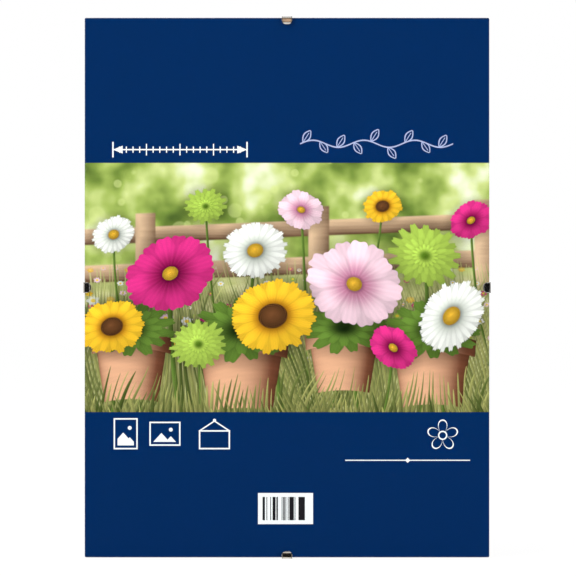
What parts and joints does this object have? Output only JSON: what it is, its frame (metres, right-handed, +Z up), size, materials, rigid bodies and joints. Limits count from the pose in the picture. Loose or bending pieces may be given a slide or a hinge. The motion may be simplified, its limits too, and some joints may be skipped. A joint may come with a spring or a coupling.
{
  "type": "clip frame",
  "caption": "Frameless picture frame: glass, a printed insert and a hardboard back held at the edges by spring clips, with sawtooth hangers.",
  "frame": {"origin": "top of the middle notch of the upright hanger, at the middle of its sheet, where the nail of an upright frame sits", "axes": "+X right as seen from the front, +Y towards the wall, +Z up along the long side"},
  "size_m": [0.2302, 0.0099, 0.3064],
  "materials": {
    "float_glass": "clear polished float glass with ground edges",
    "printed_paper": "satin coated paper, printed navy with a picture band",
    "hardboard": "brown hardboard, smooth at the insert and mesh-pressed at the wall side",
    "spring_steel": "bright nickel plate",
    "zinc_plated_steel": "bright zinc plate",
    "rivet_steel": "dull zinc plate"
  },
  "bodies": {
    "sheets": {"glass_sheet": "float_glass", "printed_insert": "printed_paper", "hardboard_back": "hardboard", "upright_hanger": "zinc_plated_steel", "sideways_hanger": "zinc_plated_steel", "upright_rivet_left": "rivet_steel", "upright_rivet_right": "rivet_steel", "sideways_rivet_left": "rivet_steel", "sideways_rivet_right": "rivet_steel"},
    "top_clip": {"clip_top": "spring_steel"},
    "right_clip": {"clip_right": "spring_steel"},
    "bottom_clip": {"clip_bottom": "spring_steel"},
    "left_clip": {"clip_left": "spring_steel"}
  },
  "joints": [
    {"name": "clip_top_release", "type": "hinge", "parent": "sheets", "child": "top_clip", "pos_m": [0, -0.00905, 0.04365], "axis": [1, 0, 0], "range_deg": [0, 45]},
    {"name": "clip_right_release", "type": "hinge", "parent": "sheets", "child": "right_clip", "pos_m": [0.11195, -0.00905, -0.1064], "axis": [0, 0, -1], "range_deg": [0, 45]},
    {"name": "clip_bottom_release", "type": "hinge", "parent": "sheets", "child": "bottom_clip", "pos_m": [0, -0.00905, -0.25645], "axis": [-1, 0, 0], "range_deg": [0, 45]},
    {"name": "clip_left_release", "type": "hinge", "parent": "sheets", "child": "left_clip", "pos_m": [-0.11195, -0.00905, -0.1064], "axis": [0, 0, 1], "range_deg": [0, 45]}
  ]
}
